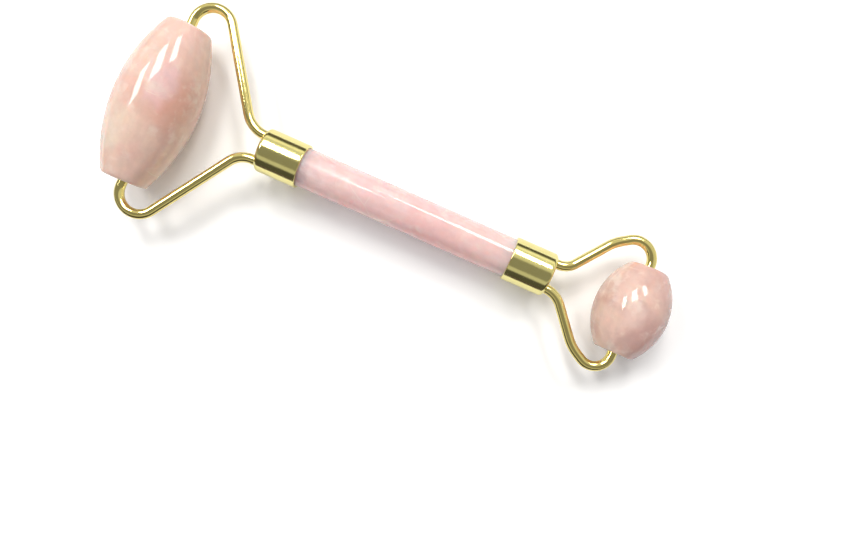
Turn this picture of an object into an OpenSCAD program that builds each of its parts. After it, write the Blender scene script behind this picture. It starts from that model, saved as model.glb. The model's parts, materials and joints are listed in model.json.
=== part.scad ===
// Face roller: a stone handle with a brass ferrule, a wire yoke and a stone roller at each end.
// Frame: the origin is the middle of the handle, on its axis. +X runs along the handle
// towards the small roller, +Y runs along the axes of both rollers, and +Z is up.
// Left means the +Y side and right means the -Y side. Pairs such as [7.3, 6.1] give the
// left arm's value first and the right arm's second, because the wires are bent by hand.

/* [Handle] */
// Diameter of the stone rod
handle_d = 9.7; // [9.4:0.1:12]
// Length of the rod that shows between the ferrules
handle_visible = 54.8; // [40:0.2:90]
// Length of each rod end that sits in its ferrule
handle_seat = 6; // [4:0.5:7]
// Chamfer on the rod's ends
handle_chamfer = 0.5; // [0.2:0.1:1]

/* [Ferrules] */
// Length of each ferrule
ferrule_len = 10.9; // [10.5:0.1:14]
// Wall thickness of the drawn cup
ferrule_wall = 0.65; // [0.4:0.05:1]
// Thickness of the cup's closed end
ferrule_end = 0.8; // [0.6:0.1:1.2]
// Outer radius where the side turns into the closed end
ferrule_corner = 1; // [0.5:0.1:1.2]

/* [Wire arms] */
// Diameter of the wire
wire_d = 2.5; // [2:0.1:2.8]
// Distance between the two wires where they leave a ferrule
wire_spacing = 6.6; // [6:0.1:6.8]
// Length of wire inside the ferrule, behind its closed end
wire_tail = 3; // [1.5:0.5:3]
// Length of wire inside each roller
wire_pin = 6.5; // [4:0.5:7]

/* [Large yoke] */
// Distance from the ferrule's face to the large roller's axis
large_axis_out = 28.1; // [25:0.1:34]
// Distance from the ferrule's face to the corner of the knee bend
large_knee_out = 4.5; // [4:0.1:5.5]
// Radius of the knee bend, to the middle of the wire
large_knee_r = [7.3, 6.1]; // [5:0.1:7.5]
// Angle between the slanted stretch and the handle
large_slant = [56.1, 56.3]; // [52:0.1:58]
// Radius of the hook that turns back to the roller, to the middle of the wire
large_hook_r = [5, 5.05]; // [4:0.05:5.5]

/* [Small yoke] */
// Distance from the ferrule's face to the small roller's axis
small_axis_out = 21.45; // [20.7:0.05:24]
// Distance from the ferrule's face to the corner of the knee bend
small_knee_out = 3.1; // [3:0.1:3.5]
// Radius of the knee bend, to the middle of the wire
small_knee_r = [4.6, 6.4]; // [4:0.1:6.6]
// Angle between the first slanted stretch and the handle
small_slant = [52.5, 50.4]; // [48:0.1:54]
// Distance from the ferrule's face to the corner of the shoulder bend
small_shoulder_out = [11.1, 11.7]; // [11:0.1:12]
// Radius of the shoulder bend, to the middle of the wire
small_shoulder_r = [9.8, 12]; // [8:0.2:12]
// Angle between the second slanted stretch and the handle
small_slope = [33.5, 28.5]; // [28:0.5:36]
// Radius of the hook that turns back to the roller, to the middle of the wire
small_hook_r = [4.6, 4.25]; // [4:0.05:4.8]

/* [Large roller] */
// Diameter at the middle of the barrel
large_d = 20.2; // [18:0.1:24]
// Length of the barrel
large_len = 40.7; // [36:0.1:42]
// Radius of the curve along the barrel's side
large_crown_r = 46.3; // [44:0.1:60]
// Place of the barrel's middle along its axis, within its end float
large_float = -0.35; // [-0.4:0.05:0.4]

/* [Small roller] */
// Diameter at the middle of the barrel
small_d = 18.15; // [17:0.05:20]
// Length of the barrel
small_len = 22.2; // [20:0.1:23]
// Radius of the curve along the barrel's side
small_crown_r = 16.3; // [16:0.1:20]
// Place of the barrel's middle along its axis, within its end float
small_float = 0.2; // [-0.4:0.05:0.4]

/* [Roller ends and bushes] */
// Rounding between a barrel's side and its flat end
roller_edge_r = 1.2; // [0.8:0.1:1.6]
// Wall thickness of the nylon bushes
bush_wall = 0.75; // [0.5:0.05:0.9]
// Thickness of a bush's closed inner end, which the wire's tip faces
bush_end = 0.8; // [0.6:0.1:1.2]
// Depth of the blind hole in a bush
bush_depth = 7.4; // [7.2:0.1:8]
// Recess of a bush below the roller's flat end
bush_recess = 0.15; // [0.05:0.05:0.4]

/* [Hidden] */
$fn = 96;
LEFT = 0;
RIGHT = 1;
OVERCUT = 1; // how far a cutting shape runs past the face that it opens
ARC_STEPS = 8; // steps along a rounded corner's outline
CROWN_STEPS = 28; // steps along a barrel's side

run_gap = 0.05; // radial clearance of a wire turning in its bush
glue_gap = 0.03; // adhesive film between glued faces
wire_chamfer = 0.35; // chamfer on the wire's tip
bend_thinning = 0.02; // radius that the wire loses where it is bent
bend_lap = 0.25; // length that a straight stretch runs on into a bend
rim_chamfer = 0.15; // chamfer on the ferrule's open rim

wire_r = wire_d / 2;
entry_y = wire_spacing / 2;
ferrule_bore_r = handle_d / 2 + glue_gap;
ferrule_r = ferrule_bore_r + ferrule_wall;
ferrule_face = handle_visible / 2 + ferrule_len;
large_reach = ferrule_face + large_axis_out;
small_reach = ferrule_face + small_axis_out;
plug_len = ferrule_len - ferrule_end - handle_seat - 2 * glue_gap;
bush_bore_r = wire_r + run_gap;
bush_r = bush_bore_r + bush_wall;
roller_bore_r = bush_r + glue_gap;
large_tip = large_len / 2 - wire_pin;
small_tip = small_len / 2 - wire_pin;

// ---- Outlines and frames ----

// Points on an arc about centre c, from angle a0 to angle a1
function arc(c, r, a0, a1, steps) =
    [for (i = [0:steps]) let (a = a0 + (a1 - a0) * i / steps) c + r * [cos(a), sin(a)]];

// Half outline of a barrel, as [radius, height]: a long crowned side, rounded into flat ends
function barrel_outline(r, len, crown_r, edge_r) =
    let (edge_y = len / 2 - edge_r,
         edge_x = r - crown_r + sqrt(pow(crown_r - edge_r, 2) - pow(edge_y, 2)),
         meet = asin(edge_y / (crown_r - edge_r)))
    concat([[0, -len / 2]],
           arc([edge_x, -edge_y], edge_r, -90, -meet, ARC_STEPS),
           arc([r - crown_r, 0], crown_r, -meet, meet, CROWN_STEPS),
           arc([edge_x, edge_y], edge_r, meet, 90, ARC_STEPS),
           [[0, len / 2]]);

// Turns a shape that stands along +Z so that it points along +X
module along_x() rotate([0, 90, 0]) children();

// Turns a shape that stands along +Z so that it points along +Y
module along_y() rotate([-90, 0, 0]) children();

// The large end is the small end's layout turned to face -X
module large_side() mirror([1, 0, 0]) children();

// The right arm and bush are drawn on the left side and mirrored
module on_side(side) mirror([0, side == RIGHT ? 1 : 0, 0]) children();

// ---- Bent wire ----
// A path is a list of [x, y, bend radius]. The first and last points have no bend.

function spot(path, i) = [path[i][0], path[i][1]];
function heading(path, i) =
    let (d = spot(path, i + 1) - spot(path, i)) atan2(d[1], d[0]);
function turn(path, i) =
    let (t = heading(path, i) - heading(path, i - 1)) t > 180 ? t - 360 : t < -180 ? t + 360 : t;
function is_bend(path, i) = i > 0 && i < len(path) - 1;
function trim(path, i) = path[i][2] * tan(abs(turn(path, i)) / 2);
function leg_trim(path, i) = is_bend(path, i) ? trim(path, i) - bend_lap : 0;
function along(a) = [cos(a), sin(a)];

// Straight stretch from corner i to corner i + 1, less what the bends take. It laps into
// each bend, which is a hair thinner, so that the two meet on the stretch's flat end.
module leg(path, i) {
    a = heading(path, i);
    from = spot(path, i) + leg_trim(path, i) * along(a);
    to = spot(path, i + 1) - leg_trim(path, i + 1) * along(a);
    translate(from) rotate(a) along_x() cylinder(h = norm(to - from), r = wire_r);
}

// Round bend at corner i
module bend(path, i) {
    a = heading(path, i - 1);
    t = turn(path, i);
    inward = t > 0 ? a + 90 : a - 90;
    first = t > 0 ? inward + 180 : inward + 180 + t;
    start = spot(path, i) - trim(path, i) * along(a);
    translate(start + path[i][2] * along(inward))
        rotate(first)
            rotate_extrude(angle = abs(t)) translate([path[i][2], 0])
                circle(r = wire_r - bend_thinning);
}

// Tapered tip that carries on from inside the path's last stretch
module wire_tip(path) {
    last = len(path) - 1;
    a = heading(path, last - 1);
    translate(spot(path, last) - bend_lap * along(a)) rotate(a) along_x()
        cylinder(h = bend_lap + wire_chamfer, r1 = wire_r - bend_thinning, r2 = wire_r - wire_chamfer);
}

module bent_wire(path) {
    for (i = [0:len(path) - 2]) leg(path, i);
    for (i = [1:len(path) - 2]) bend(path, i);
    wire_tip(path);
}

// ---- Arms ----
// Each arm starts inside the ferrule, comes out along the handle, slants away and hooks
// back into the roller's end.

function arm_start() = [ferrule_face - ferrule_end - wire_tail, entry_y, 0];

function large_path(side) =
    let (knee_x = ferrule_face + large_knee_out,
         hook_y = entry_y + (large_reach - knee_x) * tan(large_slant[side]))
    [arm_start(),
     [knee_x, entry_y, large_knee_r[side]],
     [large_reach, hook_y, large_hook_r[side]],
     [large_reach, large_tip + wire_chamfer, 0]];

function small_path(side) =
    let (knee_x = ferrule_face + small_knee_out,
         shoulder_x = ferrule_face + small_shoulder_out[side],
         shoulder_y = entry_y + (shoulder_x - knee_x) * tan(small_slant[side]),
         hook_y = shoulder_y + (small_reach - shoulder_x) * tan(small_slope[side]))
    [arm_start(),
     [knee_x, entry_y, small_knee_r[side]],
     [shoulder_x, shoulder_y, small_shoulder_r[side]],
     [small_reach, hook_y, small_hook_r[side]],
     [small_reach, small_tip + wire_chamfer, 0]];

module large_arm(side) color("gold") large_side() on_side(side) bent_wire(large_path(side));
module small_arm(side) color("gold") on_side(side) bent_wire(small_path(side));

// ---- Handle and ferrules ----

module handle_rod() {
    r = handle_d / 2;
    half = handle_visible / 2 + handle_seat;
    color("pink") along_x() rotate_extrude()
        polygon([[0, -half], [r - handle_chamfer, -half], [r, -half + handle_chamfer],
                 [r, half - handle_chamfer], [r - handle_chamfer, half], [0, half]]);
}

// Drawn cup around the end of the handle, closed at its outer face but for two wire holes
module ferrule() {
    corner = [ferrule_r - ferrule_corner, ferrule_len - ferrule_corner];
    outline = concat([[0, 0], [ferrule_r - rim_chamfer, 0], [ferrule_r, rim_chamfer]],
                     arc(corner, ferrule_corner, 0, 90, ARC_STEPS),
                     [[0, ferrule_len]]);
    color("gold") translate([ferrule_face - ferrule_len, 0, 0]) difference() {
        along_x() rotate_extrude() polygon(outline);
        translate([-OVERCUT, 0, 0]) along_x()
            cylinder(h = ferrule_len - ferrule_end + OVERCUT, r = ferrule_bore_r);
        for (y = [-entry_y, entry_y])
            translate([ferrule_len - ferrule_end - OVERCUT, y, 0]) along_x()
                cylinder(h = ferrule_end + 2 * OVERCUT, r = wire_r + glue_gap);
    }
}

// Set adhesive that fills the cup behind the handle and grips the two wire tails
module adhesive() {
    inner_face = ferrule_face - ferrule_end - glue_gap;
    color("ivory") difference() {
        translate([inner_face - plug_len, 0, 0]) along_x()
            cylinder(h = plug_len, r = ferrule_bore_r - glue_gap);
        for (y = [-entry_y, entry_y])
            translate([ferrule_face - ferrule_end - wire_tail - glue_gap, y, 0]) along_x()
                cylinder(h = wire_tail + OVERCUT, r = wire_r + glue_gap);
    }
}

// ---- Rollers ----

// Barrel bored right through, lying along Y
module roller_stone(d, len, crown_r) {
    color("pink") along_y() difference() {
        rotate_extrude() polygon(barrel_outline(d / 2, len, crown_r, roller_edge_r));
        cylinder(h = len + 2 * OVERCUT, r = roller_bore_r, center = true);
    }
}

// Closed nylon sleeve in the left mouth of a barrel's bore
module bush(len) {
    mouth = len / 2 - bush_recess;
    color("white") difference() {
        translate([0, mouth - bush_depth - bush_end, 0]) along_y()
            cylinder(h = bush_depth + bush_end, r = bush_r);
        translate([0, mouth - bush_depth, 0]) along_y()
            cylinder(h = bush_depth + OVERCUT, r = bush_bore_r);
    }
}

module at_large_roller() translate([-large_reach, large_float, 0]) children();
module at_small_roller() translate([small_reach, small_float, 0]) children();

// ---- One module per node ----

module large_ferrule() large_side() ferrule();
module small_ferrule() ferrule();
module large_adhesive() large_side() adhesive();
module small_adhesive() adhesive();
module large_arm_left() large_arm(LEFT);
module large_arm_right() large_arm(RIGHT);
module small_arm_left() small_arm(LEFT);
module small_arm_right() small_arm(RIGHT);
module large_roller_stone() at_large_roller() roller_stone(large_d, large_len, large_crown_r);
module large_bush_left() at_large_roller() bush(large_len);
module large_bush_right() at_large_roller() on_side(RIGHT) bush(large_len);
module small_roller_stone() at_small_roller() roller_stone(small_d, small_len, small_crown_r);
module small_bush_left() at_small_roller() bush(small_len);
module small_bush_right() at_small_roller() on_side(RIGHT) bush(small_len);

handle_rod();
large_ferrule();
small_ferrule();
large_adhesive();
small_adhesive();
large_arm_left();
large_arm_right();
small_arm_left();
small_arm_right();
large_roller_stone();
large_bush_left();
large_bush_right();
small_roller_stone();
small_bush_left();
small_bush_right();
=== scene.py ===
"""Looks for the face roller: polished rose quartz and gold-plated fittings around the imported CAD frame.

Lengths are in millimetres and are turned into Blender's metres by MM. The frame has +X along the handle
towards the small roller, +Y along the roller axes and +Z up.
"""

import json
import math

import bmesh
import bpy
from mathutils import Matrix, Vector


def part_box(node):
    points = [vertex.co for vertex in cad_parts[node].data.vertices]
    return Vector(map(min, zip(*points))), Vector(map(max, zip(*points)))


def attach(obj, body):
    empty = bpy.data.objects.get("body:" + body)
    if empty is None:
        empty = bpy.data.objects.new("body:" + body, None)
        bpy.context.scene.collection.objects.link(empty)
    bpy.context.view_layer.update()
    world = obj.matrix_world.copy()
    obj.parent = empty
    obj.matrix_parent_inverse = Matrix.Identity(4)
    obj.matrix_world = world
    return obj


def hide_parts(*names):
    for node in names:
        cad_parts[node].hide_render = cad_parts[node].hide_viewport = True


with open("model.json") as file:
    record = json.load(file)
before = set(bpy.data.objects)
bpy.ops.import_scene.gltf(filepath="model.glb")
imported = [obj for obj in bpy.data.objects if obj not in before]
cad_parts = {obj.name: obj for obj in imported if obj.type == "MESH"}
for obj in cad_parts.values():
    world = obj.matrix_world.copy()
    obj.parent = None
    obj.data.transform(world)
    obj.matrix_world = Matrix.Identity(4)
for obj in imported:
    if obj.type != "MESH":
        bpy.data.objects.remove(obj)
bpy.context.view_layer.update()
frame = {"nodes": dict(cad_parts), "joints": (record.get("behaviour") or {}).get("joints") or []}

MM = 0.001


# ---- Sizes read from the frame ----

def box_mm(node):
    """A CAD node's lowest and highest corners in millimetres."""
    low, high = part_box(node)
    return low / MM, high / MM


def joint_x_mm(name):
    """Place of a roller's axis along the handle."""
    joint = next(j for j in frame["joints"] if j["name"] == name)
    return joint["pos_m"][0] / MM


HANDLE_HIGH = box_mm("handle_rod")[1]
HANDLE_R = HANDLE_HIGH.z
FERRULE_LOW, FERRULE_HIGH = box_mm("small_ferrule")
FERRULE_R = FERRULE_HIGH.z
FERRULE_LEN = FERRULE_HIGH.x - FERRULE_LOW.x
WIRE_R = box_mm("large_arm_left")[1].z
LARGE_X = joint_x_mm("large_roller_spin")
SMALL_X = joint_x_mm("small_roller_spin")

LARGE, SMALL = "large", "small"
SIDE = {LARGE: -1, SMALL: 1}  # which way along X an end lies
REACH = {LARGE: abs(LARGE_X), SMALL: abs(SMALL_X)}

# Shapes that the boxes don't give
HANDLE_END_R = 0.5
GRIND_DEPTH = 0.012  # each way from the mean: hand grinding leaves the rod a touch wavy
GRIND_RATE = 0.33  # radians of that wave per millimetre
GRIND_START = 0.8  # radians of it at the rod's middle
GRIND_CLEAR = 1  # length at each end that stays true
CROWN_R = {LARGE: 46.3, SMALL: 16.3}  # curve along a barrel's side
BARREL_EDGE_R = 1.2
BORE_R = 2.08
BORE_BEVEL = 0.25
GLUE_GAP = 0.03
FERRULE_END = 0.8  # thickness of the closed end
FERRULE_CORNER_R = 1.0
FERRULE_RIM_R = 0.22
FERRULE_INSIDE_R = 0.25
END_RINGS = (0.6, 1.6, 2.6, 3.6)  # radii of the rings that divide the closed end
WIRE_SPACING = 6.6
WIRE_CHAMFER = 0.35
PIN_LEN = 6.5  # length of wire inside a roller, with its chamfered tip

# Points round each turned or swept piece
ROD_STEPS = 128
BARREL_STEPS = 144
HOLE_STEPS = 48
WIRE_STEPS = 40

# Each arm's bends as the CAD has them. A knee is the distance of its corner from the ferrule's face and
# its radius. A shoulder is the same and then the slant that follows it. Slants are degrees from the handle.
ARMS = {
    (LARGE, "left"): {"knee": (4.5, 7.3), "slant": 56.1, "hook_r": 5.0},
    (LARGE, "right"): {"knee": (4.5, 6.1), "slant": 56.3, "hook_r": 5.05},
    (SMALL, "left"): {"knee": (3.1, 4.6), "slant": 52.5, "shoulder": (11.1, 9.8, 33.5), "hook_r": 4.6},
    (SMALL, "right"): {"knee": (3.1, 6.4), "slant": 50.4, "shoulder": (11.7, 12.0, 28.5), "hook_r": 4.25},
}


# ---- Mesh building ----

def arc(cx, cy, r, start, end, steps):
    """Points on an arc, with angles in degrees."""
    angles = [math.radians(start + (end - start) * i / steps) for i in range(steps + 1)]
    return [(cx + r * math.cos(a), cy + r * math.sin(a)) for a in angles]


def spaced(a, b, step):
    """Points strictly between two outline points, about step apart, to keep the quads even."""
    n = max(1, round(math.dist(a, b) / step))
    return [(a[0] + (b[0] - a[0]) * i / n, a[1] + (b[1] - a[1]) * i / n) for i in range(1, n)]


def skin(rings, name, closed_loop):
    """A mesh through rings of points. closed_loop joins the last ring to the first, or else both get caps."""
    bm = bmesh.new()
    rows = [[bm.verts.new(Vector(p) * MM) for p in ring] for ring in rings]
    pairs = list(zip(rows, rows[1:]))
    if closed_loop:
        pairs.append((rows[-1], rows[0]))
    for one, two in pairs:
        for i in range(len(one)):
            j = (i + 1) % len(one)
            bm.faces.new((one[i], one[j], two[j], two[i]))
    if not closed_loop:
        bm.faces.new(list(reversed(rows[0])))
        bm.faces.new(rows[-1])
    bmesh.ops.recalc_face_normals(bm, faces=bm.faces)
    mesh = bpy.data.meshes.new(name)
    bm.to_mesh(mesh)
    bm.free()
    mesh.shade_smooth()
    piece = bpy.data.objects.new(name, mesh)
    bpy.context.scene.collection.objects.link(piece)
    return piece


def lathe(name, outline, along, centre, steps, closed_loop, first=0.0):
    """Turns an outline of (radius, height) about an axis through centre. along is the axis, X or Y.

    first is where round the axis the first spoke lies, in steps. Half a step keeps a cutter's corners off
    the corners of what it cuts.
    """
    across, up = {"X": (Vector((0, 1, 0)), Vector((0, 0, 1))),
                  "Y": (Vector((0, 0, 1)), Vector((1, 0, 0)))}[along]
    axis = Vector((1, 0, 0)) if along == "X" else Vector((0, 1, 0))
    turns = [2 * math.pi * (i + first) / steps for i in range(steps)]
    spokes = [across * math.cos(t) + up * math.sin(t) for t in turns]
    rings = [[Vector(centre) + axis * h + spoke * r for spoke in spokes] for r, h in outline]
    return skin(rings, name, closed_loop)


def smooth_by_angle(piece, degrees=35):
    """Keeps corners sharper than the angle crisp and smooths the rest."""
    piece.data.set_sharp_from_angle(angle=math.radians(degrees))


# ---- Handle, ferrules and barrels ----

def make_handle():
    """The stone rod, a touch uneven along its length as hand grinding leaves it."""
    end_r, half = HANDLE_END_R, HANDLE_HIGH.x
    outline = arc(HANDLE_R - end_r, -half + end_r, end_r, -90, 0, steps=6)
    outline += spaced((HANDLE_R, -half + end_r), (HANDLE_R, half - end_r), step=0.6)
    outline += arc(HANDLE_R - end_r, half - end_r, end_r, 0, 90, steps=6)
    uneven = [(r - ground_off(h) if abs(h) < half - GRIND_CLEAR else r, h) for r, h in outline]
    return lathe("handle", uneven, "X", (0, 0, 0), ROD_STEPS, closed_loop=False)


def ground_off(x):
    """How far hand grinding leaves the rod's radius short at x."""
    return GRIND_DEPTH * (1 + math.sin(x * GRIND_RATE + GRIND_START))


def make_ferrule(end):
    """A drawn cup: a rounded closed end, a softly rolled rim and a real bore."""
    side = SIDE[end]
    bore_r = HANDLE_R + GLUE_GAP
    length, rim, corner = FERRULE_LEN, FERRULE_RIM_R, FERRULE_CORNER_R
    inner = length - FERRULE_END
    inside = FERRULE_INSIDE_R
    outline = [(r, inner) for r in END_RINGS]
    outline += arc(bore_r - inside, inner - inside, inside, 90, 0, steps=4)
    outline += arc(bore_r + rim, rim, rim, -180, -90, steps=6)
    outline += arc(FERRULE_R - rim, rim, rim, -90, 0, steps=6)
    outline += spaced((FERRULE_R, rim), (FERRULE_R, length - corner), step=0.5)
    outline += arc(FERRULE_R - corner, length - corner, corner, 0, 90, steps=12)
    outline += [(r, length) for r in reversed(END_RINGS)]
    start = abs(FERRULE_LOW.x)
    heights = [(r, side * (start + h)) for r, h in outline]
    cup = lathe(end + "_ferrule_cup", heights, "X", (0, 0, 0), ROD_STEPS, closed_loop=False)
    drill_wire_holes(cup, side * (start + inner), side * (start + length))
    smooth_by_angle(cup)
    return cup


def drill_wire_holes(cup, inner_x, outer_x):
    """Cuts the two wire holes through the closed end."""
    middle = (inner_x + outer_x) / 2
    r = WIRE_R + GLUE_GAP
    for y in (-WIRE_SPACING / 2, WIRE_SPACING / 2):
        cutter = [(r, -FERRULE_END), (r, FERRULE_END)]
        drill = lathe("drill", cutter, "X", (middle, y, 0), HOLE_STEPS, closed_loop=False, first=0.5)
        cut = cup.modifiers.new("wire_hole", "BOOLEAN")
        cut.operation = "DIFFERENCE"
        cut.solver = "EXACT"
        cut.object = drill
        with bpy.context.temp_override(object=cup, active_object=cup):
            bpy.ops.object.modifier_apply(modifier=cut.name)
        bpy.data.objects.remove(drill)


def make_barrel(end):
    """A crowned stone barrel with flat ends, softened edges and a bore right through it."""
    low, high = box_mm(end + "_roller_stone")
    r, half = (high.z - low.z) / 2, (high.y - low.y) / 2
    crown, edge = CROWN_R[end], BARREL_EDGE_R
    edge_h = half - edge
    edge_x = r - crown + math.sqrt((crown - edge) ** 2 - edge_h ** 2)
    meet = math.degrees(math.asin(edge_h / (crown - edge)))
    outline = arc(edge_x, -edge_h, edge, -90, -meet, steps=10)
    outline += arc(r - crown, 0, crown, -meet, meet, steps=90)[1:-1]
    outline += arc(edge_x, edge_h, edge, meet, 90, steps=10)
    mouth = BORE_R + BORE_BEVEL
    outline += spaced(outline[-1], (mouth, half), step=0.5)
    outline += arc(mouth, half - BORE_BEVEL, BORE_BEVEL, 90, 180, steps=5)
    outline += spaced((BORE_R, half - BORE_BEVEL), (BORE_R, BORE_BEVEL - half), step=1.5)
    outline += arc(mouth, BORE_BEVEL - half, BORE_BEVEL, 180, 270, steps=5)
    outline += spaced((mouth, -half), outline[0], step=0.5)
    centre = (REACH[end] * SIDE[end], (low.y + high.y) / 2, 0)
    return lathe(end + "_barrel", outline, "Y", centre, BARREL_STEPS, closed_loop=True)


# ---- Bent wire ----

def arm_corners(end, hand):
    """Corners of an arm's centreline as (x, y, bend radius), drawn on the small end's left side."""
    shape = ARMS[end, hand]
    face = FERRULE_HIGH.x
    y = WIRE_SPACING / 2
    low, high = box_mm(f"{end}_arm_{hand}")
    tail_x = min(abs(low.x), abs(high.x))
    knee_out, knee_r = shape["knee"]
    corners = [(tail_x, y, 0), (face + knee_out, y, knee_r)]
    slope = math.tan(math.radians(shape["slant"]))
    if "shoulder" in shape:
        out, bend_r, second = shape["shoulder"]
        x = face + out
        corners.append((x, y + (x - corners[-1][0]) * slope, bend_r))
        slope = math.tan(math.radians(second))
    last_x, last_y, _ = corners[-1]
    corners.append((REACH[end], last_y + (REACH[end] - last_x) * slope, shape["hook_r"]))
    low, high = box_mm(end + "_roller_stone")
    corners.append((REACH[end], (high.y - low.y) / 2 - PIN_LEN + WIRE_CHAMFER, 0))
    return corners


def rounded(corners, step=0.6, bend_step=4.0):
    """Centreline points and headings along corners joined by round bends."""
    points = [Vector(c[:2]) for c in corners]
    legs = [(b - a).normalized() for a, b in zip(points, points[1:])]
    trims = [0.0]
    for i in range(1, len(points) - 1):
        trims.append(corners[i][2] * math.tan(legs[i - 1].angle(legs[i]) / 2))
    trims.append(0.0)
    path = []
    for i, leg in enumerate(legs):
        start = points[i] + leg * trims[i]
        end = points[i + 1] - leg * trims[i + 1]
        n = max(1, round((end - start).length / step))
        path += [(start.lerp(end, k / n), leg) for k in range(n + 1)]
        if i + 1 < len(legs):
            path += bend_points(end, leg, legs[i + 1], corners[i + 1][2], bend_step)
    return path


def bend_points(start, before, after, radius, bend_step):
    """Points strictly inside one bend."""
    turn = before.angle_signed(after)
    sign = -1 if turn > 0 else 1
    normal = Vector((-before.y, before.x)) * sign
    centre = start + normal * radius
    n = max(2, round(abs(math.degrees(turn)) / bend_step))
    found = []
    for k in range(1, n):
        a = sign * abs(turn) * k / n
        spoke = -normal * radius
        turned = Vector((spoke.x * math.cos(a) - spoke.y * math.sin(a),
                         spoke.x * math.sin(a) + spoke.y * math.cos(a)))
        heading = Vector((before.x * math.cos(a) - before.y * math.sin(a),
                          before.x * math.sin(a) + before.y * math.cos(a)))
        found.append((centre + turned, heading))
    return found


def wire_ring(point, heading, r, flip_x, flip_y):
    """One ring of the wire's skin, square to its heading, on the side that the flips choose."""
    across = Vector((-heading.y, heading.x))
    ring = []
    for i in range(WIRE_STEPS):
        t = 2 * math.pi * i / WIRE_STEPS
        spot = point + across * (r * math.cos(t))
        ring.append((spot.x * flip_x, spot.y * flip_y, r * math.sin(t)))
    return ring


def make_arm(end, hand):
    """Sweeps the wire along its bends, with a square-cut tail and a chamfered tip."""
    flip_y = 1 if hand == "left" else -1
    path = rounded(arm_corners(end, hand))
    radii = [WIRE_R] * len(path)
    tip, heading = path[-1]
    path.append((tip + heading * WIRE_CHAMFER, heading))
    radii.append(WIRE_R - WIRE_CHAMFER)
    rings = [wire_ring(point, way, r, SIDE[end], flip_y) for (point, way), r in zip(path, radii)]
    arm = skin(rings, f"{end}_arm_{hand}_wire", closed_loop=False)
    smooth_by_angle(arm)
    return arm


# ---- Material helpers ----

class Nodes:
    """A small wrapper that adds nodes to a material or world and links values into their sockets."""

    def __init__(self, tree):
        """tree is the node tree that everything is added to."""
        self.tree = tree

    def add(self, kind, settings=None, **inputs):
        """A new node, with settings as its attributes and inputs by name."""
        node = self.tree.nodes.new("ShaderNode" + kind)
        for key, value in (settings or {}).items():
            setattr(node, key, value)
        for key, value in inputs.items():
            self.put(node.inputs[key.replace("_", " ")], value)
        return node

    def put(self, socket, value):
        """Links an output to a socket or sets the socket's own value. None leaves it alone."""
        if isinstance(value, bpy.types.NodeSocket):
            self.tree.links.new(value, socket)
        elif value is not None:
            socket.default_value = value

    def math(self, operation, a, b=None):
        """One step of arithmetic on numbers."""
        node = self.add("Math", {"operation": operation})
        self.put(node.inputs[0], a)
        self.put(node.inputs[1], b)
        return node.outputs[0]

    def vector(self, operation, a, b=None):
        """One step of arithmetic on vectors."""
        node = self.add("VectorMath", {"operation": operation})
        self.put(node.inputs[0], a)
        self.put(node.inputs[1], b)
        return node.outputs["Value"] if operation in ("LENGTH", "DOT_PRODUCT") else node.outputs[0]

    def mix(self, factor, a, b, blend="MIX"):
        """Colour a turned into b, or blended with it, by factor."""
        node = self.add("Mix", {"data_type": "RGBA", "blend_type": blend})
        self.put(node.inputs["Factor"], factor)
        self.put(node.inputs[6], a)
        self.put(node.inputs[7], b)
        return node.outputs[2]

    def noise(self, position, scale, detail, roughness=0.5):
        """Smooth noise from 0 to 1."""
        node = self.add("TexNoise", Vector=position, Scale=scale, Detail=detail, Roughness=roughness)
        return node.outputs["Fac"]

    def ramp(self, value, low, high, to_low=0.0, to_high=1.0):
        """Eases from to_low where value is low to to_high where it is high, and holds beyond."""
        node = self.add("MapRange", {"interpolation_type": "SMOOTHSTEP"})
        for socket, v in zip(node.inputs, (value, low, high, to_low, to_high)):
            self.put(socket, v)
        return node.outputs[0]

    def stretched(self, position, x, y, z):
        """A position scaled along each axis. A small scale draws a pattern out along its axis."""
        return self.vector("MULTIPLY", position, (x, y, z))


def new_material(name):
    """A node material with only a Principled shader, and its node helper."""
    material = bpy.data.materials.new(name)
    material.use_nodes = True
    material.node_tree.nodes.clear()
    nodes = Nodes(material.node_tree)
    output = nodes.add("OutputMaterial")
    shader = nodes.add("BsdfPrincipled")
    nodes.put(output.inputs["Surface"], shader.outputs[0])
    return material, nodes, shader


def position_mm(nodes, centre=(0, 0, 0)):
    """The surface point in millimetres from centre, in the piece's own frame, so that it turns with it."""
    coords = nodes.add("TexCoord").outputs["Object"]
    scaled = nodes.vector("MULTIPLY", coords, (1 / MM,) * 3)
    return nodes.vector("SUBTRACT", scaled, centre)


def rgb(r, g, b):
    """An opaque linear colour."""
    return (r, g, b, 1.0)


# ---- Materials ----

FROST = 0.30  # roughness that a less polished zone adds
QUARTZ_IOR = 1.54
CLOUD_DRIFT = 6  # how strongly the swirl bends the clouds and pits
ZONE_DRIFT = 0.7  # the same for the zones' edges, in shares
CRACK_DRIFT = 2
GRAIN_ALONG, GRAIN_ACROSS = 0.03, 0.7  # scales of the growth lines' pattern
CRACK_TONE = rgb(0.95, 0.85, 0.74)
SPECK_TONE = rgb(0.36, 0.22, 0.15)
RELIEF = 0.02  # depth of surface marks on stone and nylon
PLATING_RELIEF = 0.03
PLATING_WEAR = (0.97, 0.93, 0.80)  # share of red, green and blue that the worn tone keeps
WIPE_HAZE = 0.07  # roughness that wipe marks add


def drift(nodes, spot, wander, reach):
    """spot moved along the swirl, in proportion to reach."""
    return nodes.vector("ADD", spot, nodes.vector("MULTIPLY", wander, (reach, reach, reach)))


def zone(nodes, shares, centre, spread, strength):
    """A soft-edged region: 0 beyond spread from centre and up to strength inside."""
    offset = nodes.vector("DIVIDE", nodes.vector("SUBTRACT", shares, centre), spread)
    return nodes.ramp(nodes.vector("LENGTH", offset), 1.0, 0.15, 0.0, strength)


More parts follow.
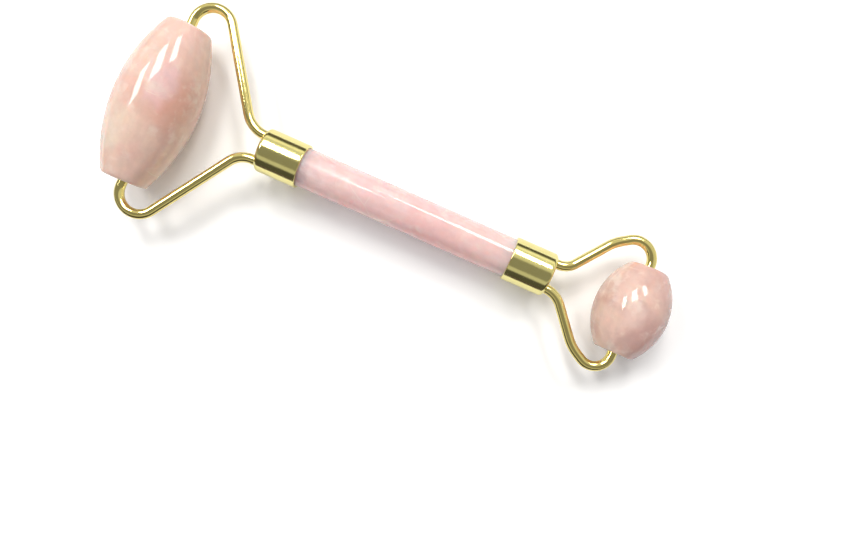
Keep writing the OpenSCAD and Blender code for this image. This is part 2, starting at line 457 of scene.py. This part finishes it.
def stone_colour(nodes, spot, wander, shares, tones, zones):
    """Body and cloud colours, broad zones of other tones, pale veils and a fine mottle."""
    body, cloud, veil = tones
    drifted = drift(nodes, spot, wander, CLOUD_DRIFT)
    clouds = nodes.ramp(nodes.noise(drifted, scale=0.10, detail=4), 0.38, 0.64)
    colour = nodes.mix(clouds, body, cloud)
    loose = drift(nodes, shares, wander, ZONE_DRIFT)
    for centre, spread, tone, strength in zones:
        colour = nodes.mix(zone(nodes, loose, centre, spread, strength), colour, tone)
    haze = nodes.noise(drifted, scale=0.26, detail=5, roughness=0.55)
    veils = nodes.ramp(haze, 0.50, 0.70, to_high=0.5)
    colour = nodes.mix(veils, colour, veil)
    fine = nodes.noise(spot, scale=0.55, detail=4, roughness=0.55)
    mottle = nodes.ramp(fine, 0.3, 0.7, 0.97, 1.03)
    return nodes.mix(1.0, colour, mottle, "MULTIPLY")


def stone_grain(nodes, spot, wander, size, colour):
    """Faint growth lines along the stone's longest side, in some areas only."""
    scales = [GRAIN_ALONG if side == max(size) else GRAIN_ACROSS for side in size]
    bent = nodes.vector("ADD", spot, wander)
    lines = nodes.noise(nodes.stretched(bent, *scales), scale=1.0, detail=4, roughness=0.55)
    lined = nodes.mix(1.0, colour, nodes.ramp(lines, 0.3, 0.7, 0.96, 1.02), "MULTIPLY")
    grown = nodes.ramp(nodes.noise(spot, scale=0.10, detail=2), 0.42, 0.60)
    return nodes.mix(grown, colour, lined)


def stone_flaws(nodes, spot, wander, colour):
    """A few thin pale healed cracks and sparse brown mineral specks."""
    bent = drift(nodes, spot, wander, CRACK_DRIFT)
    plates = nodes.add("TexVoronoi", {"feature": "DISTANCE_TO_EDGE"}, Vector=bent, Scale=0.06)
    crack = nodes.ramp(plates.outputs["Distance"], 0.008, 0.002)
    few = nodes.ramp(nodes.noise(spot, scale=0.12, detail=1), 0.55, 0.64, to_high=0.35)
    colour = nodes.mix(nodes.math("MULTIPLY", crack, few), colour, CRACK_TONE)
    cell = nodes.add("TexVoronoi", Vector=spot, Scale=0.16)
    speck = nodes.ramp(cell.outputs["Distance"], 0.040, 0.015)
    rare = nodes.ramp(nodes.noise(spot, scale=0.21, detail=1), 0.56, 0.60, to_high=0.5)
    return nodes.mix(nodes.math("MULTIPLY", speck, rare), colour, SPECK_TONE)


def stone_surface(nodes, shader, spot, wander, shares, frost):
    """Polish with faint grinding marks, less polished in the frost zones, and the odd shallow pit."""
    marks = nodes.noise(nodes.stretched(spot, 3, 0.5, 3), scale=1.4, detail=6, roughness=0.7)
    gloss = nodes.ramp(marks, 0.45, 0.75, 0.05, 0.11)
    for centre, spread in frost:
        gloss = nodes.math("ADD", gloss, zone(nodes, shares, centre, spread, FROST))
    nodes.put(shader.inputs["Roughness"], gloss)
    swell = nodes.noise(spot, scale=0.5, detail=3)
    ripple = nodes.add("Bump", Strength=0.12, Distance=RELIEF * MM, Height=swell)
    drifted = drift(nodes, spot, wander, CLOUD_DRIFT)
    cells = nodes.add("TexVoronoi", Vector=drifted, Scale=0.55)
    pits = nodes.ramp(cells.outputs["Distance"], 0.0, 0.13)
    pitted = nodes.add("Bump", Strength=0.25, Distance=RELIEF * MM, Height=pits, Normal=ripple.outputs[0])
    nodes.put(shader.inputs["Normal"], pitted.outputs[0])


def rose_quartz(name, node, tones, zones, scatter, seed, frost=()):
    """Polished rose quartz for one stone.

    tones are the body, cloud and veil colours. zones are (centre, spread, colour, strength) and frost is
    (centre, spread). Their places are shares of the stone's half-size, from -1 to 1 along X, Y and Z.
    """
    material, nodes, shader = new_material(name)
    low, high = box_mm(node)
    from_centre = position_mm(nodes, tuple((low + high) / 2))
    shares = nodes.vector("DIVIDE", from_centre, tuple((high - low) / 2))
    spot = nodes.vector("ADD", from_centre, (seed, seed * 1.7, seed * 0.6))
    swirl = nodes.add("TexNoise", Vector=spot, Scale=0.16, Detail=3.0).outputs["Color"]
    wander = nodes.vector("SUBTRACT", swirl, (0.5, 0.5, 0.5))
    colour = stone_colour(nodes, spot, wander, shares, tones, zones)
    colour = stone_grain(nodes, spot, wander, high - low, colour)
    colour = stone_flaws(nodes, spot, wander, colour)
    nodes.put(shader.inputs["Base Color"], colour)
    nodes.put(shader.inputs["Subsurface Weight"], 1.0)
    nodes.put(shader.inputs["Subsurface Radius"], (1.0, 0.6, 0.45))
    nodes.put(shader.inputs["Subsurface Scale"], scatter * MM)
    nodes.put(shader.inputs["IOR"], QUARTZ_IOR)
    stone_surface(nodes, shader, spot, wander, shares, frost)
    return material


def large_stone():
    """Peach-pink, with a warm patch to one side of the middle and a paler lower half."""
    tones = (rgb(0.79, 0.54, 0.46), rgb(0.85, 0.63, 0.53), rgb(0.90, 0.78, 0.69))
    zones = [((0.7, 0.1, 0.7), (0.5, 0.6, 0.9), rgb(0.78, 0.44, 0.34), 0.8),
             ((0.3, 0.25, 0.9), (0.5, 0.4, 0.8), rgb(0.87, 0.59, 0.60), 0.7),
             ((-0.4, -0.5, 0.8), (0.7, 0.5, 0.9), rgb(0.86, 0.74, 0.62), 0.7),
             ((0.2, 0.9, 0.5), (0.9, 0.4, 0.9), rgb(0.89, 0.64, 0.58), 0.6),
             ((0.1, -0.9, 0.5), (0.9, 0.3, 0.9), rgb(0.78, 0.57, 0.49), 0.6)]
    return rose_quartz("large_quartz", "large_roller_stone", tones, zones, scatter=3.0, seed=4.0)


def small_stone():
    """Dusty pink, deeper towards one lower corner and paler opposite, with painted shade darkening its +X
    side.
    """
    tones = (rgb(0.66, 0.43, 0.38), rgb(0.80, 0.59, 0.51), rgb(0.89, 0.77, 0.69))
    zones = [((0.5, -0.4, 0.8), (0.7, 0.7, 0.9), rgb(0.66, 0.42, 0.38), 0.7),
             # painted shade: a dark rose-brown band darkens the +X side, the side turned away from the panels
             ((1, 0, 0.2), (0.7, 1.3, 1), rgb(0.50, 0.32, 0.29), 0.9),
             ((-0.1, -0.2, 1), (0.5, 0.5, 0.8), rgb(0.86, 0.69, 0.62), 0.6),
             ((-0.5, 0.4, 0.7), (0.6, 0.7, 0.9), rgb(0.86, 0.69, 0.60), 0.5)]
    return rose_quartz("small_quartz", "small_roller_stone", tones, zones, scatter=3.0, seed=21.0)


def handle_stone():
    """The pinkest and clearest stone, with a cloudy, less polished stretch at the large roller's end."""
    tones = (rgb(0.80, 0.55, 0.54), rgb(0.83, 0.61, 0.60), rgb(0.88, 0.75, 0.73))
    zones = [((-1, 0, 0.8), (0.35, 2, 2), rgb(0.52, 0.37, 0.37), 0.9),
             ((-0.6, 0, 0.8), (0.25, 2, 2), rgb(0.82, 0.63, 0.61), 0.5),
             ((0.1, 0, 0.8), (0.3, 2, 2), rgb(0.84, 0.57, 0.57), 0.3),
             ((0.6, 0, 0.8), (0.3, 2, 2), rgb(0.84, 0.65, 0.61), 0.5),
             ((1, 0, 0.8), (0.25, 2, 2), rgb(0.58, 0.41, 0.40), 0.7)]
    frost = [((-0.8, 0, 0.8), (0.6, 2, 2))]
    return rose_quartz("handle_quartz", "handle_rod", tones, zones, scatter=9.0, seed=9.0, frost=frost)


def plated_gold(name, tint, gloss, peel, seed):
    """Bright pale-gold plating: mirror-like, with patches of orange peel, faint wipe marks and tiny pits.

    gloss is its lowest roughness and peel the strength of its bumps.
    """
    material, nodes, shader = new_material(name)
    place = nodes.vector("ADD", position_mm(nodes), (seed, -seed, seed * 2))
    mottled = nodes.ramp(nodes.noise(place, scale=0.45, detail=4), 0.35, 0.65, to_high=0.35)
    worn = rgb(*(full * left for full, left in zip(tint, PLATING_WEAR)))
    nodes.put(shader.inputs["Base Color"], nodes.mix(mottled, tint, worn))
    nodes.put(shader.inputs["Metallic"], 1.0)
    wipes = nodes.noise(nodes.stretched(place, 0.6, 4, 4), scale=1.2, detail=6, roughness=0.7)
    nodes.put(shader.inputs["Roughness"], nodes.ramp(wipes, 0.4, 0.75, gloss, gloss + WIPE_HAZE))
    patchy = nodes.ramp(nodes.noise(place, scale=0.22, detail=2), 0.42, 0.60, 0.25, 1.0)
    grain = nodes.math("MULTIPLY", nodes.noise(place, scale=1.9, detail=3), patchy)
    cell = nodes.add("TexVoronoi", Vector=place, Scale=0.35)
    pits = nodes.math("ADD", grain, nodes.ramp(cell.outputs["Distance"], 0.0, 0.035, -0.4, 0.0))
    bump = nodes.add("Bump", Strength=peel, Distance=PLATING_RELIEF * MM, Height=pits)
    nodes.put(shader.inputs["Normal"], bump.outputs[0])
    return material


def nylon(name):
    """Natural nylon: waxy off-white with a faint turned texture."""
    material, nodes, shader = new_material(name)
    place = position_mm(nodes)
    tone = nodes.ramp(nodes.noise(place, scale=1.5, detail=3), 0.3, 0.7)
    nodes.put(shader.inputs["Base Color"], nodes.mix(tone, rgb(0.80, 0.79, 0.74), rgb(0.88, 0.87, 0.83)))
    nodes.put(shader.inputs["Subsurface Weight"], 0.3)
    nodes.put(shader.inputs["Subsurface Scale"], 0.4 * MM)
    nodes.put(shader.inputs["Roughness"], 0.42)
    turned = nodes.noise(place, scale=9, detail=2)
    bump = nodes.add("Bump", Strength=0.2, Distance=RELIEF * MM, Height=turned)
    nodes.put(shader.inputs["Normal"], bump.outputs[0])
    return material


def epoxy(name):
    """Set clear-amber adhesive with trapped cloudiness."""
    material, nodes, shader = new_material(name)
    place = position_mm(nodes)
    haze = nodes.ramp(nodes.noise(place, scale=1.1, detail=4), 0.35, 0.7)
    nodes.put(shader.inputs["Base Color"], nodes.mix(haze, rgb(0.72, 0.64, 0.42), rgb(0.86, 0.82, 0.70)))
    nodes.put(shader.inputs["Subsurface Weight"], 0.5)
    nodes.put(shader.inputs["Subsurface Scale"], 0.8 * MM)
    nodes.put(shader.inputs["Roughness"], nodes.ramp(haze, 0, 1, 0.15, 0.35))
    return material


def give(piece, material):
    """Puts one material on a piece, in place of any it has."""
    piece.data.materials.clear()
    piece.data.materials.append(material)


# ---- Stage ----

# The room that the plating mirrors: each surface's start, as degrees from straight up towards +Y, and its
# brightness. It runs until the next one starts.
ROOM = [
    (-90, 0.08),  # furniture low on the near side
    (-60, 0.55),  # near wall
    (-40, 0.26),  # ceiling
    (10, 0.65),  # ceiling by the panels
    (60, 1.0),  # far wall, lit by the panels
    (75, 0.10),  # furniture low on the far side
]
ROOM_EDGE = 10  # degrees over which one surface gives way to the next
ROOM_WARMTH = (1.0, 0.98, 0.88)
AMBIENT = 0.38
AMBIENT_BLUENESS = 1.02

# Three ceiling panels in a row. Places and sizes are shares of their height above the table.
PANEL_HEIGHT = 1500
PANEL_OUT = 0.7
PANEL_LENGTH = 0.6
PANEL_WIDTH = 0.3
PANEL_PITCH = 0.6
PANEL_TURN = 125  # direction in which the row of panels lies, from +X towards +Y, in degrees
PANEL_LEVEL = 12.0
PANEL_TINT = (1.0, 0.985, 0.955)


def room_seen(nodes):
    """The room as a mirrored ray sees it, by how far the ray leans from straight up towards +Y."""
    way = nodes.add("SeparateXYZ", Vector=nodes.add("TexCoord").outputs["Generated"])
    lean = nodes.math("ARCTAN2", way.outputs["Y"], way.outputs["Z"])
    degrees = nodes.math("MULTIPLY", lean, math.degrees(1))
    level = ROOM[0][1]
    for (_, before), (start, after) in zip(ROOM, ROOM[1:]):
        step = nodes.ramp(degrees, start - ROOM_EDGE / 2, start + ROOM_EDGE / 2, 0.0, after - before)
        level = nodes.math("ADD", step, level)
    return nodes.vector("MULTIPLY", ROOM_WARMTH, level)


def make_world():
    """Even light for matt surfaces, a simple room for mirrors to show, and white behind it all."""
    world = bpy.data.worlds.new("studio")
    bpy.context.scene.world = world
    world.use_nodes = True
    world.node_tree.nodes.clear()
    nodes = Nodes(world.node_tree)
    ray = nodes.add("LightPath")
    ambient = rgb(AMBIENT, AMBIENT, AMBIENT * AMBIENT_BLUENESS)
    seen = nodes.mix(ray.outputs["Is Glossy Ray"], ambient, room_seen(nodes))
    seen = nodes.mix(ray.outputs["Is Camera Ray"], seen, rgb(1, 1, 1))
    background = nodes.add("Background", Color=seen)
    output = nodes.add("OutputWorld")
    nodes.put(output.inputs["Surface"], background.outputs[0])


def make_panel(number):
    """One ceiling panel: number runs from -1 to 1 along the row."""
    turn = math.radians(PANEL_TURN)
    outwards = Vector((math.cos(turn), math.sin(turn), 0)) * PANEL_OUT
    sideways = Vector((math.sin(turn), -math.cos(turn), 0)) * PANEL_PITCH * number
    height = PANEL_HEIGHT * MM
    light = bpy.data.lights.new(f"ceiling_panel_{number + 1}", "AREA")
    light.shape = "RECTANGLE"
    light.size = PANEL_LENGTH * height
    light.size_y = PANEL_WIDTH * height
    light.energy = PANEL_LEVEL * math.pi * light.size * light.size_y
    light.color = PANEL_TINT
    panel = bpy.data.objects.new(light.name, light)
    panel.location = (outwards + sideways + Vector((0, 0, 1))) * height
    panel.rotation_euler = (0, 0, turn)
    panel.visible_camera = False
    bpy.context.scene.collection.objects.link(panel)


# ---- The table ----

TABLE_OVEREXPOSURE = 1.25  # how much brighter the table looks to the camera than it lights the object
TABLE_NEAR_Y = -55  # the white top's edge on the near side
TABLE_FAR_Y = 105  # and its slanted far edge, where it crosses X = 0
TABLE_FAR_SLOPE = 0.6
TABLE_EDGE_BLUR = 3
TABLE_FADE = (150, 500)  # distances over which the camera sees it fade into the white background
BEYOND_TABLE = rgb(0.09, 0.07, 0.08)
TABLE_R = 1600
TABLE_STEPS = 128


def beyond_table(nodes, place):
    """1 past the white top's edges and 0 on it."""
    spot = nodes.add("SeparateXYZ", Vector=place)
    slant = nodes.math("MULTIPLY", spot.outputs["X"], TABLE_FAR_SLOPE)
    out = nodes.math("SUBTRACT", spot.outputs["Y"], slant)
    far = nodes.ramp(out, TABLE_FAR_Y, TABLE_FAR_Y + TABLE_EDGE_BLUR)
    near = nodes.ramp(spot.outputs["Y"], TABLE_NEAR_Y, TABLE_NEAR_Y - TABLE_EDGE_BLUR)
    return nodes.math("MAXIMUM", far, near)


def table_colour(nodes):
    """White paper. Mirrors show that it ends, and the camera sees it overexposed."""
    place = position_mm(nodes)
    tone = nodes.ramp(nodes.noise(place, scale=0.02, detail=3), 0.3, 0.7)
    paper = nodes.mix(tone, rgb(0.90, 0.90, 0.90), rgb(0.92, 0.92, 0.92))
    ray = nodes.add("LightPath")
    mirrored = nodes.math("MULTIPLY", beyond_table(nodes, place), ray.outputs["Is Glossy Ray"])
    bright = nodes.mix(1.0, paper, rgb(*(TABLE_OVEREXPOSURE,) * 3), "MULTIPLY")
    return nodes.mix(ray.outputs["Is Camera Ray"], nodes.mix(mirrored, paper, BEYOND_TABLE), bright)


def make_floor():
    """A white table top that both barrels rest on."""
    large_r = box_mm("large_roller_stone")[1].z
    small_r = box_mm("small_roller_stone")[1].z
    lean = math.atan2(large_r - small_r, SMALL_X - LARGE_X)
    material, nodes, shader = new_material("white_table")
    nodes.put(shader.inputs["Base Color"], table_colour(nodes))
    away = nodes.vector("LENGTH", position_mm(nodes))
    to_camera = nodes.add("LightPath").outputs["Is Camera Ray"]
    fade = nodes.math("MULTIPLY", nodes.ramp(away, *TABLE_FADE), to_camera)
    nodes.put(shader.inputs["Emission Color"], rgb(1, 1, 1))
    nodes.put(shader.inputs["Emission Strength"], fade)
    nodes.put(shader.inputs["Roughness"], 0.9)
    nodes.put(shader.inputs["Specular IOR Level"], 0.1)
    bm = bmesh.new()
    bmesh.ops.create_circle(bm, cap_ends=True, segments=TABLE_STEPS, radius=TABLE_R * MM)
    mesh = bpy.data.meshes.new("table_top")
    bm.to_mesh(mesh)
    bm.free()
    floor = bpy.data.objects.new("table_top", mesh)
    floor.location = (LARGE_X * MM, 0, -large_r * MM)  # the lean turns it about the large roller's contact
    floor.rotation_euler = (0, -lean, 0)
    bpy.context.scene.collection.objects.link(floor)
    give(floor, material)


CAMERA_AT = (12.5, -12.5, 170)
CAMERA_TURN = 23.8  # degrees
CAMERA_LENS = 29.0
CAMERA_SENSOR = 36
CAMERA_NEAR = 5


def make_camera():
    """Straight down over the table, from close by, with the handle running down to the right."""
    camera = bpy.data.objects.new("camera", bpy.data.cameras.new("camera"))
    camera.data.sensor_width = CAMERA_SENSOR
    camera.data.lens = CAMERA_LENS
    camera.location = [place * MM for place in CAMERA_AT]
    camera.rotation_euler = (0, 0, math.radians(CAMERA_TURN))
    camera.data.clip_start = CAMERA_NEAR * MM
    bpy.context.scene.collection.objects.link(camera)
    bpy.context.scene.camera = camera


# ---- The object ----

def build():
    """Makes every piece, gives it its material and puts it on its body."""
    wire_gold = plated_gold("wire_gold", rgb(0.93, 0.81, 0.33), gloss=0.05, peel=0.30, seed=3.0)
    cap_gold = plated_gold("cap_gold", rgb(0.93, 0.85, 0.37), gloss=0.10, peel=0.50, seed=11.0)
    white_nylon = nylon("white_nylon")
    set_epoxy = epoxy("set_epoxy")

    handle = make_handle()
    give(handle, handle_stone())
    stand_for(handle, "frame", "handle_rod")
    for end, stone in ((LARGE, large_stone()), (SMALL, small_stone())):
        cup = make_ferrule(end)
        give(cup, cap_gold)
        stand_for(cup, "frame", end + "_ferrule")
        for hand in ("left", "right"):
            arm = make_arm(end, hand)
            give(arm, wire_gold)
            stand_for(arm, "frame", f"{end}_arm_{hand}")
            give(frame["nodes"][f"{end}_bush_{hand}"], white_nylon)
        barrel = make_barrel(end)
        give(barrel, stone)
        stand_for(barrel, end + "_roller", end + "_roller_stone")
        give(frame["nodes"][end + "_adhesive"], set_epoxy)


def stand_for(piece, body, node):
    """The piece rides on the body and stands for the CAD node."""
    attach(piece, body)
    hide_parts(node)


build()
make_world()
for number in (-1, 0, 1):
    make_panel(number)
make_floor()
make_camera()
bpy.context.scene.view_settings.view_transform = "Standard"
